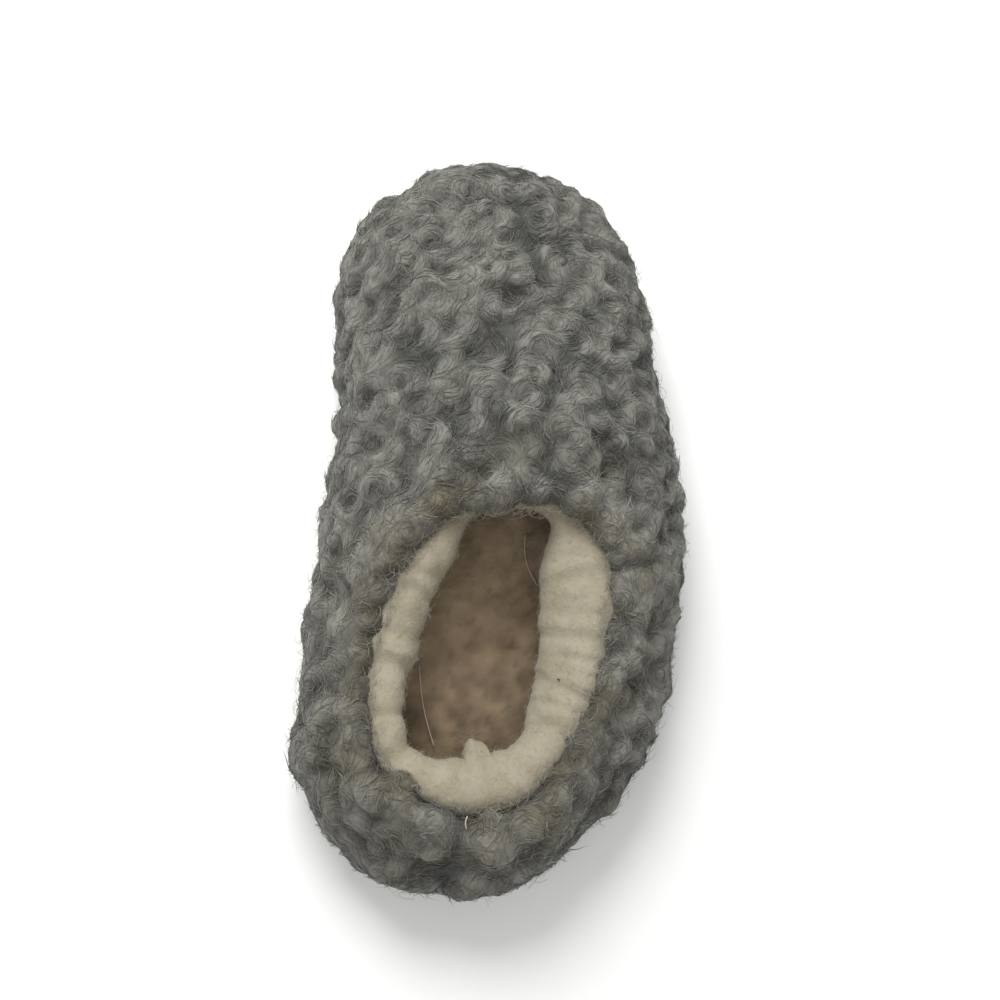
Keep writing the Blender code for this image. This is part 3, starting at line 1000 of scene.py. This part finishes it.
def fibre_paths(points, normals, rng, length, rise, thickness, heading=None, steps=5):
    """Paths and radii of single fibres that leave a surface, bow and curl back towards it."""
    count = len(points)
    turn = rng.random(count) * 2 * math.pi
    side = unit(np.cross(normals, ASKEW))
    if heading is not None:
        turn = rng.normal(0.0, HEADING_SCATTER, count)
        side = unit(heading - normals * np.sum(heading * normals, axis=1, keepdims=True))
    across = np.cross(normals, side)
    along = side * np.cos(turn)[:, None] + across * np.sin(turn)[:, None]
    reach = length * varied(rng, count, *SINGLE_REACH)
    curl = rng.normal(0.0, SINGLE_CURL, count)
    lift = rise * varied(rng, count, *SINGLE_LIFT)
    t = np.linspace(0, 1, steps)
    angle = curl[:, None] * t
    x = reach[:, None] * t * np.cos(angle)
    y = reach[:, None] * t * np.sin(angle)
    z = lift[:, None] * np.sin(math.pi * SINGLE_BOW * t) - SINGLE_ROOT * (1 - t)
    radii = np.outer(thickness / 2 * rng.uniform(*SINGLE_THICKNESS, count), 1 - SINGLE_TAPER * t**2)
    return laid_out(points, x, y, z, along, np.cross(normals, along), normals), radii


# Creases across the roll: place round the collar from the heel by the outer side (whole turn is 1),
# depth, half width, and how far the crease slants along the roll
CREASES = (
    (0.020, 1.6, 2.0, 2.0),
    (0.075, 1.1, 1.6, -2.0),
    (0.120, 1.8, 2.2, 3.0),
    (0.165, 0.9, 1.4, 1.0),
    (0.205, 1.5, 2.0, -2.0),
    (0.250, 0.8, 1.4, 2.0),
    (0.290, 1.6, 1.9, 1.0),
    (0.325, 0.9, 1.5, -1.0),
    (0.365, 1.3, 1.8, 2.0),
    (0.405, 1.0, 1.6, -2.0),
    (0.615, 1.2, 1.8, 2.0),
    (0.660, 1.5, 2.0, -2.0),
    (0.725, 1.1, 2.2, 2.0),
    (0.790, 1.7, 2.2, -3.0),
    (0.845, 1.2, 1.8, 2.0),
    (0.890, 2.0, 2.4, 3.0),
    (0.945, 1.3, 1.8, -2.0),
)

# What all creases share: softness of their width, part of their depth, painted shade, and strength at side
# and top
CREASE_SOFTNESS = 1.35
CREASE_DEPTH = 0.85
CREASE_PAINTED_SHADE = 0.15
CREASE_AT_SIDE = 0.55
CREASE_AT_TOP = 0.45

# Share of the way round the collar over which the roll's middle line is evened, and steps for its direction
EVENED_SHARE = 0.018
EVENED_STEPS = 5

# Stretches where the roll is fuller or slimmer than its solid: middle and half width round the collar,
# direction on the roll in degrees from outwards by the top, spread of it in radians, and rise in millimetres
ROLL_SWELLS = (
    (OUTER_SIDE, 35, 0.8, 4.0),
    (OUTER_SIDE, 235, 1.0, 7.0),
    (INNER_SIDE, 35, 0.8, 2.2),
    ((0.35, 0.07), 205, 1.0, 3.0),
    ((0.865, 0.075), 190, 1.0, -2.5),
    ((0.01, 0.075), 190, 1.0, 4.0),
)

# Lumps and wrinkles of the roll, how far wrinkles run in a radian round it, and the radius where it is full
ROLL_LUMPS = ((1.0, 12 * MM), (0.5, 5 * MM, 4.0))
ROLL_WRINKLES = (0.28 * MM, 2.6 * MM, 2.0)
WRINKLE_RUN = 4 * MM
ROLL_FULL = (1.0, 4 * MM, 2 * MM)

# At the throat the roll sits further out and lower, and is slimmer and darker
THROAT_OUT = 3.0 * MM
THROAT_DOWN = 0.8 * MM
THROAT_SLIMMER = 0.4
THROAT_DARKER = 0.35

# Small bump where the lining's ends meet at the heel: place, reach, half width, the side of the roll that it
# stands on, its spread there and its rounding
HEEL_TUFT_PLACE = 0.010
HEEL_TUFT_REACH = 6.5 * MM
HEEL_TUFT_HALF_WIDTH = 6.0 * MM
HEEL_TUFT_LEAN = math.radians(194)
HEEL_TUFT_SPREAD = 1.0
HEEL_TUFT_ROUNDING = 0.4


class SLIPPER_OT_collar(bpy.types.Operator):
    """Cream lining rolled over the collar's edge, pinched by creases, with short matted fibres"""

    bl_idname = "slipper.collar"
    bl_label = "Collar roll"

    around = 256
    sides = 40

    def execute(self, context):
        settings = context.scene.slipper_collar
        middle, radius = self.centre_line()
        bpy.ops.object.select_all(action="DESELECT")
        bpy.ops.mesh.primitive_torus_add(major_segments=self.around, minor_segments=self.sides)
        piece = context.object
        piece.name = "collar_roll_cream"
        points, shade = self.shape(middle, radius, settings)
        move_points(piece.data, points)
        choose(piece)
        bpy.ops.object.mode_set(mode="EDIT")
        bpy.ops.mesh.select_all(action="SELECT")
        bpy.ops.mesh.normals_make_consistent(inside=False)
        bpy.ops.object.mode_set(mode="OBJECT")
        piece.data.shade_smooth()
        set_attribute(piece.data, "shade", shade)
        grain = {"fibre": 1.4 * MM, "lump": 9.0 * MM, "bump": 0.8}
        material = felted_wool_material("felted_cream_wool", settings.cream, settings.soiled_and_shaded, **grain)
        finish_piece(piece, material)
        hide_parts("collar_roll")
        self.fibres(piece, settings)
        return {"FINISHED"}

    def centre_line(self):
        """Middle line and radius of the roll's solid from the heel by the outer side, evened a little."""
        points = np.unique(node_triangles("collar_roll").reshape(-1, 3), axis=0)
        place = np.arange(self.around) / self.around
        weights = bell(wrapped(round_collar(points) - place[:, None], 1.0), EVENED_SHARE)
        weights /= weights.sum(axis=1, keepdims=True)
        middle = weights @ points
        along = unit(np.roll(middle, -1, axis=0) - np.roll(middle, 1, axis=0))
        from_middle = points - middle[:, None]
        from_middle -= along[:, None] * np.sum(from_middle * along[:, None], axis=2, keepdims=True)
        return middle, np.sum(weights * np.linalg.norm(from_middle, axis=2), axis=1)

    def shape(self, middle, radius, settings):
        """Points of the creased roll and its shade: painted shade in the creases, darker wool at the throat.
        """
        along = unit(np.roll(middle, -EVENED_STEPS, axis=0) - np.roll(middle, EVENED_STEPS, axis=0))
        out = unit(np.cross(along, np.array([0.0, 0.0, 1.0])))
        up = np.cross(out, along)
        turn = 2 * math.pi * np.arange(self.sides) / self.sides
        ring = out[:, None, :] * np.cos(turn)[None, :, None] + up[:, None, :] * np.sin(turn)[None, :, None]
        length = np.linalg.norm(np.roll(middle, -1, axis=0) - middle, axis=1).sum()
        place = np.arange(self.around) / self.around
        rest = middle[:, None, :] + ring * radius[:, None, None]
        lumps = sum(noise_at(rest.reshape(-1, 3), *lump) for lump in ROLL_LUMPS)
        rise = lumps.reshape(self.around, self.sides) * MM
        shade = np.ones((self.around, self.sides))
        full = above(radius, *ROLL_FULL)[:, None]
        run = np.repeat(place * length, self.sides)
        unrolled = np.column_stack([run, np.tile(turn, self.around) * WRINKLE_RUN, np.zeros(len(run))])
        rise += noise_at(unrolled, *ROLL_WRINKLES).reshape(self.around, self.sides) * full
        strength = (CREASE_AT_SIDE + CREASE_AT_TOP * np.sin(turn)[None, :]) * full
        for where, depth, half_width, slant in CREASES:
            offset = wrapped(place - where, 1.0)
            distance = offset[:, None] * length - slant * MM * np.sin(turn)[None, :]
            trough = bell(distance, CREASE_SOFTNESS * half_width * MM)
            rise -= CREASE_DEPTH * depth * MM * trough * strength
            # Painted shade at the bottom of each crease
            shade -= CREASE_PAINTED_SHADE * depth * trough**2 * strength
        tuft = wrapped(place - HEEL_TUFT_PLACE, 1.0) * length / HEEL_TUFT_HALF_WIDTH
        dome = np.maximum(1 - tuft**2, 0.0) ** HEEL_TUFT_ROUNDING
        facing_in = bell(wrapped(turn - HEEL_TUFT_LEAN, 2 * math.pi), HEEL_TUFT_SPREAD, 4)
        into = -out[round(HEEL_TUFT_PLACE * self.around) % self.around]
        rest = rest + HEEL_TUFT_REACH * (dome[:, None] * facing_in[None, :])[..., None] * into
        rise += (settings.fullness - 1) * radius[:, None]
        for stretch, direction, spread, swell in ROLL_SWELLS:
            off = wrapped(turn - math.radians(direction), 2 * math.pi)
            rise += swell * MM * np.outer(plateau(place, *stretch), bell(off, spread))
        throat = plateau(place, *THROAT)[:, None]
        rise -= THROAT_SLIMMER * radius[:, None] * throat
        shade -= THROAT_DARKER * throat
        rest = rest + throat[:, :, None] * (out[:, None, :] * THROAT_OUT - np.array([0.0, 0.0, THROAT_DOWN]))
        return (rest + ring * rise[:, :, None]).reshape(-1, 3), shade.ravel()

    def fibres(self, roll, settings):
        """Short fibres that lie on the roll."""
        rng = np.random.default_rng(31)
        picked = rng.choice(len(roll.data.vertices), settings.fibres)
        points = points_of(roll.data)[picked]
        normals = directions_of(roll.data)[picked]
        paths, radii = fibre_paths(points, normals, rng, **ROLL_FIBRE)
        shade = varied(rng, len(points), *ROLL_FIBRE_TONE)
        warmth = ROLL_FIBRE_WARMTH * rng.random(len(points))
        material = wool_fibre_material("loose_cream_fibre", settings.cream, settings.soiled_and_shaded)
        fibre_piece("collar_fibres", paths, radii, normals, shade, warmth, material, "cream_fleece")


# Matted tufts: strength, strength of finer ones, how much finer these are, and their shift
LINING_TUFTS = (0.7, 0.4, 2)
INSOLE_TUFTS = (1.2, 0.8, 2.2)
FINER_SHIFT = 9.0

# Lining: rise over the upper's inner face in millimetres, wall, its painted shade low down, and painted light
# that height adds
LINING_RISE = 1.2
LINING_WALL = 0.8 * MM
LINING_SHADE = 0.25
LINING_PAINTED_LIGHT = (0.75, 20 * MM, 24 * MM)

# Insole: grain of its skin, and where painted shade darkens it, to the outer side and to the heel
INSOLE_GRAIN = 1.6 * MM
INSOLE_SIDE_PAINTED_SHADE = (0.5, -25.0 * MM, 47.0 * MM)
INSOLE_HEEL_PAINTED_SHADE = (0.5, -40.0 * MM, 24.0 * MM)

# Painted shade as a dark web between the matted tufts: its size in tufts, its shift, and the part of the
# noise that it takes
WEB_SIZE = 0.8
WEB_SHIFT = 21.0
MATTED_WEB = 0.07

# Shade of the insole: its base, painted light away from the painted shade and on the tops of the tufts,
# and painted shade of the web that it takes away
INSOLE_SHADE = 0.08
PAINTED_LIGHT_OUT_OF_SHADE = 0.75
TUFT_TOP_PAINTED_LIGHT = 0.3
WEB_PAINTED_SHADE = 0.22

# Tones against a colour of the settings: painted light and painted shade of the insole, and darker felt
INSOLE_PAINTED_LIT_TONE = 1.5
INSOLE_PAINTED_SHADED_TONE = 0.5
FELT_DARK = 0.7


def matted_tufts(points, size, strength, finer_strength, finer):
    """Rise of matted tufts of a size, with finer ones among them."""
    return noise_at(points, strength, size) + noise_at(points, finer_strength, size / finer, FINER_SHIFT)


def toned(colour, factor):
    """A lighter or darker tone of a colour."""
    return tuple(factor * channel for channel in colour)


def part_touching(mesh):
    """Part the points of a mesh in edit mode where two patches only touch."""
    skin = bmesh.from_edit_mesh(mesh)
    for corner in list(skin.verts):
        if sum(edge.is_boundary for edge in corner.link_edges) > 2:
            bmesh.utils.vert_separate(corner, [])
    bmesh.update_edit_mesh(mesh)


class SLIPPER_OT_lining(bpy.types.Operator):
    """Wool lining on the inside of the upper, trodden to soft tufts, with painted shade low down"""

    bl_idname = "slipper.lining"
    bl_label = "Lining"

    def execute(self, context):
        settings = context.scene.slipper_inside
        _, _, _, inner = upper_sides()
        piece = copy_of("upper", "lining")
        piece.data.polygons.foreach_set("select", ~inner)
        bpy.ops.object.mode_set(mode="EDIT")
        bpy.ops.mesh.select_mode(type="FACE")
        bpy.ops.mesh.delete(type="FACE")
        part_touching(piece.data)
        bpy.ops.mesh.select_all(action="SELECT")
        bpy.ops.mesh.subdivide(number_cuts=2, smoothness=0.0)
        bpy.ops.object.mode_set(mode="OBJECT")
        mesh = piece.data
        points, normals = points_of(mesh), directions_of(mesh)
        tufts = matted_tufts(points, settings.tuft, *LINING_TUFTS)
        move_points(mesh, points + normals * ((LINING_RISE + tufts)[:, None] * MM))
        wall = piece.modifiers.new("wall", "SOLIDIFY")
        wall.thickness = LINING_WALL
        wall.offset = -1.0
        bpy.ops.object.modifier_apply(modifier=wall.name)
        mesh.shade_smooth()
        # Painted shade: darker low down inside the upper, lighter towards the collar
        set_attribute(mesh, "shade", LINING_SHADE + above(points_of(mesh)[:, 2], *LINING_PAINTED_LIGHT))
        grain = {"fibre": 1.6 * MM, "lump": 9.0 * MM, "bump": 0.8}
        cream = context.scene.slipper_collar.cream
        material = felted_wool_material("wool_lining_painted_shade", cream, settings.tan, **grain)
        finish_piece(piece, material)
        return {"FINISHED"}


class SLIPPER_OT_insole(bpy.types.Operator):
    """Fleecy insole, matted to tufts, with painted shade to the outer side and the heel"""

    bl_idname = "slipper.insole"
    bl_label = "Insole"

    def execute(self, context):
        settings = context.scene.slipper_inside
        piece = copy_of("insole", "insole_fleece")
        apply_remesh(piece, INSOLE_GRAIN)
        mesh = piece.data
        points, normals = points_of(mesh), directions_of(mesh)
        tufts = matted_tufts(points, settings.tuft, *INSOLE_TUFTS)
        upwards = np.clip(normals[:, 2], 0.0, 1.0)
        move_points(mesh, points + normals * ((tufts * upwards)[:, None] * MM))
        mesh.shade_smooth()
        # Painted shade to the outer side, the heel and the web; painted light on the tufts' tops
        painted_shade = above(points[:, 0], *INSOLE_SIDE_PAINTED_SHADE) + below(points[:, 1], *INSOLE_HEEL_PAINTED_SHADE)
        web = bell(noise_at(points, 1.0, settings.tuft * WEB_SIZE, WEB_SHIFT), MATTED_WEB)
        shade = INSOLE_SHADE + PAINTED_LIGHT_OUT_OF_SHADE * (1 - painted_shade) + TUFT_TOP_PAINTED_LIGHT * tufts - WEB_PAINTED_SHADE * web
        set_attribute(mesh, "shade", np.clip(shade, 0.0, 1.0))
        # Lit and shaded copies of the tan: painted light and painted shade
        light, dark = toned(settings.tan, INSOLE_PAINTED_LIT_TONE), toned(settings.tan, INSOLE_PAINTED_SHADED_TONE)
        grain = {"fibre": 2.0 * MM, "lump": 4.5 * MM, "bump": 1.0}
        material = felted_wool_material("wool_insole_painted_shade", light, dark, **grain)
        finish_piece(piece, material)
        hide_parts("insole")
        return {"FINISHED"}


class SLIPPER_OT_outsole(bpy.types.Operator):
    """Pressed felt outsole: the solid itself, with its felt surface"""

    bl_idname = "slipper.outsole"
    bl_label = "Outsole"

    def execute(self, context):
        felt = context.scene.slipper_inside.felt
        grain = {"fibre": 0.9 * MM, "lump": 5.0 * MM, "bump": 0.6}
        material = felted_wool_material("pressed_wool_felt", felt, toned(felt, FELT_DARK), **grain)
        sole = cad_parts["outsole"]
        sole.data.materials.clear()
        sole.data.materials.append(material)
        return {"FINISHED"}


# Loose bits: what each lies on, its two ends in plan, its bow, height over what it lies on and thickness, all
# in millimetres, and whether it is dark
LOOSE_BITS = (
    ("insole_fleece", (-21.0, -54.0), (-12.6, -84.0), 1.4, 2.4, 0.32, 0.0),
    ("insole_fleece", (11.6, -3.8), (17.6, -24.0), 2.2, 2.4, 0.30, 0.0),
    ("curly_fleece", (-3.2, -109.5), (-2.8, -113.0), 0.5, 0.6, 0.40, 0.0),
    ("collar_roll_cream", (21.7, -63.8), (22.5, -64.1), 0.0, 0.1, 0.70, 1.0),
)
BIT_POINTS = 14
BIT_SIDES = 6
PALE_BIT = "#d8cfba"
DARK_BIT = "#2a2420"


class SLIPPER_OT_hairs(bpy.types.Operator):
    """Two loose pale hairs on the insole, the thread end of the heel seam, and a dark speck on the roll"""

    bl_idname = "slipper.hairs"
    bl_label = "Loose hairs"

    def execute(self, context):
        depsgraph = context.evaluated_depsgraph_get()
        t = np.linspace(0, 1, BIT_POINTS)
        paths, radii, dark = [], [], []
        for ground, start, end, bow, over, thickness, tone in LOOSE_BITS:
            under = BVHTree.FromObject(bpy.data.objects[ground], depsgraph)
            plan = np.outer(1 - t, start) + np.outer(t, end)
            sideways = np.array([end[1] - start[1], start[0] - end[0]])
            plan = (plan + np.outer(np.sin(math.pi * t) * bow, unit(sideways))) * MM
            ends = [self.height(under, *plan[k]) for k in (0, -1)]
            height = ends[0] * (1 - t) + ends[1] * t + over * MM
            paths.append(np.column_stack([plan, height]))
            radii.append(np.full(BIT_POINTS, thickness / 2 * MM))
            dark.append(tone)
        upright = np.tile([0.0, 0.0, 1.0], (len(paths), 1))
        mesh = tube_mesh("loose_hairs", np.array(paths), np.array(radii), upright, BIT_SIDES)
        set_attribute(mesh, "shade", np.ones(len(mesh.vertices)))
        set_attribute(mesh, "warmth", np.repeat(dark, len(mesh.vertices) // len(dark)))
        material = wool_fibre_material("pale_guard_hair", linear(PALE_BIT), linear(DARK_BIT))
        finish_piece(add_object("loose_hairs", mesh), material)
        return {"FINISHED"}

    def height(self, under, x, y):
        """Height of a piece under a point of the plan, or of its nearest point where it lies beside."""
        above_all = Vector((x, y, CAD_BOX[1][2]))
        hit = under.ray_cast(above_all, Vector((0, 0, -1)))[0] or under.find_nearest(above_all)[0]
        return hit.z


# Stage: gap under the slipper, soft lights with place, size and power, and the height that the camera aims at
FLOOR_GAP = 0.2 * MM
SOFTBOXES = (
    ("key", (-0.34, 0.62, 1.02), 0.7, 12.5),
    ("fill", (-0.2, -0.6, 1.3), 0.8, 5.5),
)
AIM_HEIGHT = 30 * MM


class SLIPPER_OT_stage(bpy.types.Operator):
    """Pale floor, soft studio light and the camera"""

    bl_idname = "slipper.stage"
    bl_label = "Stage"

    def execute(self, context):
        settings = context.scene.slipper_stage
        self.floor(settings)
        self.light(context.scene)
        self.camera(context.scene, settings)
        context.scene.view_settings.view_transform = "Standard"
        return {"FINISHED"}

    def floor(self, settings):
        bpy.ops.object.select_all(action="DESELECT")
        bpy.ops.mesh.primitive_plane_add(size=6.0, location=(0, 0, -FLOOR_GAP))
        floor = bpy.context.object
        floor.name = "floor"
        material, _, shader = start_material("matt_white_paper", roughness=0.9, sheen=0.0)
        shader.inputs["Base Color"].default_value = (*settings.floor, 1)
        floor.data.materials.append(material)

    def light(self, scene):
        world = bpy.data.worlds.new("studio")
        world.use_nodes = True
        background = world.node_tree.nodes["Background"]
        background.inputs["Color"].default_value = (1.0, 1.0, 1.0, 1.0)
        background.inputs["Strength"].default_value = 0.45
        scene.world = world
        for name, location, size, power in SOFTBOXES:
            data = bpy.data.lights.new(name, "AREA")
            data.shape = "DISK"
            data.size = size
            data.energy = power
            light = add_object(name, data)
            light.location = location
            light.rotation_euler = (-Vector(location)).to_track_quat("-Z", "Y").to_euler()

    def camera(self, scene, settings):
        data = bpy.data.cameras.new("camera")
        data.sensor_width = 36.0
        data.lens = settings.lens
        data.clip_start = 0.01
        level = math.cos(settings.elevation)
        aside, behind = math.sin(settings.azimuth) * level, math.cos(settings.azimuth) * level
        back = Vector((aside, -behind, math.sin(settings.elevation)))
        camera = add_object("camera", data)
        camera.location = Vector((0.0, 0.0, AIM_HEIGHT)) + back * settings.distance
        camera.rotation_mode = "QUATERNION"
        aim = (-back).to_track_quat("-Z", "Y")
        camera.rotation_quaternion = aim @ Quaternion((0, 0, 1), settings.roll)
        scene.camera = camera


class SLIPPER_PT_panel(bpy.types.Panel):
    """The slipper's pieces and their settings"""

    bl_idname = "SLIPPER_PT_panel"
    bl_label = "Curly wool slipper"
    bl_space_type = "VIEW_3D"
    bl_region_type = "UI"
    bl_category = "Slipper"

    def draw(self, context):
        for group in SETTINGS:
            box = self.layout.box()
            held = getattr(context.scene, group)
            for name in held.__annotations__:
                box.prop(held, name)
        for operator in OPERATORS:
            self.layout.operator(operator.bl_idname)


SETTINGS = {
    "slipper_fleece": FleeceSettings,
    "slipper_collar": CollarSettings,
    "slipper_inside": InsideSettings,
    "slipper_stage": StageSettings,
}
OPERATORS = (
    SLIPPER_OT_fleece,
    SLIPPER_OT_strays,
    SLIPPER_OT_collar,
    SLIPPER_OT_lining,
    SLIPPER_OT_insole,
    SLIPPER_OT_outsole,
    SLIPPER_OT_hairs,
    SLIPPER_OT_stage,
)


def register():
    for kind in (*SETTINGS.values(), *OPERATORS, SLIPPER_PT_panel):
        bpy.utils.register_class(kind)
    for name, kind in SETTINGS.items():
        setattr(bpy.types.Scene, name, PointerProperty(type=kind))


def unregister():
    for name in SETTINGS:
        delattr(bpy.types.Scene, name)
    for kind in (SLIPPER_PT_panel, *reversed(OPERATORS), *SETTINGS.values()):
        bpy.utils.unregister_class(kind)


def main():
    register()
    bpy.ops.slipper.fleece()
    bpy.ops.slipper.strays()
    bpy.ops.slipper.collar()
    bpy.ops.slipper.lining()
    bpy.ops.slipper.insole()
    bpy.ops.slipper.outsole()
    bpy.ops.slipper.hairs()
    bpy.ops.slipper.stage()


if __name__ == "__main__":
    main()
